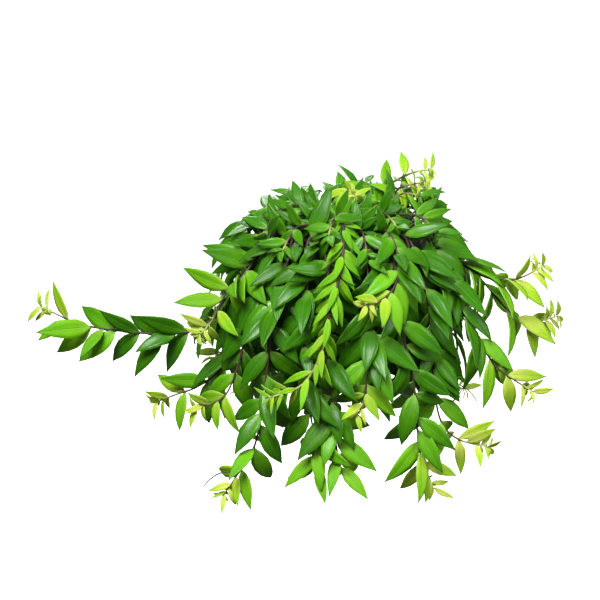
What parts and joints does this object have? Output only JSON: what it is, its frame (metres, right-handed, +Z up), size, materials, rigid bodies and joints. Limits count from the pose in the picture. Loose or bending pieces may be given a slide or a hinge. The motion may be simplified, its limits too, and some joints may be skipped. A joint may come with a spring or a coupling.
{
  "type": "trailing basket vine in a hanging pot",
  "caption": "Trailing vine with opposite lance-shaped glossy leaves that arch over the rim of a round plastic pot and hang free all round.",
  "frame": {"origin": "centre of the flat underside of the pot", "axes": "+Z up along the pot's axis; in front view the eye looks along +Y and +X is to the right, so the longest shoot reaches to -X"},
  "size_m": [0.5308, 0.3316, 0.3306],
  "materials": {
    "pot_plastic": "dark aubergine moulded plastic with a soft sheen",
    "potting_mix": null,
    "leaf": null
  },
  "bodies": {
    "root": {"pot": "pot_plastic", "potting_mix": "potting_mix", "shoot_left_long": "leaf", "shoot_left_upper": "leaf", "shoot_left_middle": "leaf", "shoot_left_lower": "leaf", "shoot_bottom_left": "leaf", "shoot_bottom_middle_left": "leaf", "shoot_bottom_middle": "leaf", "shoot_front_pale": "leaf", "shoot_front_middle": "leaf", "shoot_front_lower": "leaf", "shoot_bottom_right": "leaf", "shoot_right_bottom": "leaf", "shoot_right_front": "leaf", "shoot_right_out": "leaf", "shoot_right_curl": "leaf", "shoot_top_right": "leaf", "shoot_top_right_tall": "leaf", "shoot_crown_star": "leaf", "shoot_trailing_1": "leaf", "shoot_trailing_2": "leaf", "shoot_trailing_3": "leaf", "shoot_trailing_4": "leaf", "shoot_trailing_5": "leaf", "shoot_trailing_6": "leaf", "shoot_trailing_7": "leaf", "shoot_trailing_8": "leaf", "shoot_trailing_9": "leaf", "shoot_trailing_10": "leaf", "shoot_trailing_11": "leaf", "shoot_crown_1": "leaf", "shoot_crown_2": "leaf", "shoot_crown_3": "leaf", "shoot_crown_4": "leaf", "shoot_crown_5": "leaf", "shoot_crown_6": "leaf", "shoot_crown_7": "leaf", "shoot_crown_8": "leaf", "shoot_crown_9": "leaf", "shoot_crown_10": "leaf", "shoot_crown_11": "leaf", "shoot_inner_1": "leaf", "shoot_inner_2": "leaf", "shoot_inner_3": "leaf", "shoot_inner_4": "leaf", "shoot_inner_5": "leaf", "shoot_inner_6": "leaf", "shoot_inner_7": "leaf", "shoot_inner_8": "leaf", "shoot_inner_9": "leaf"}
  },
  "joints": []
}
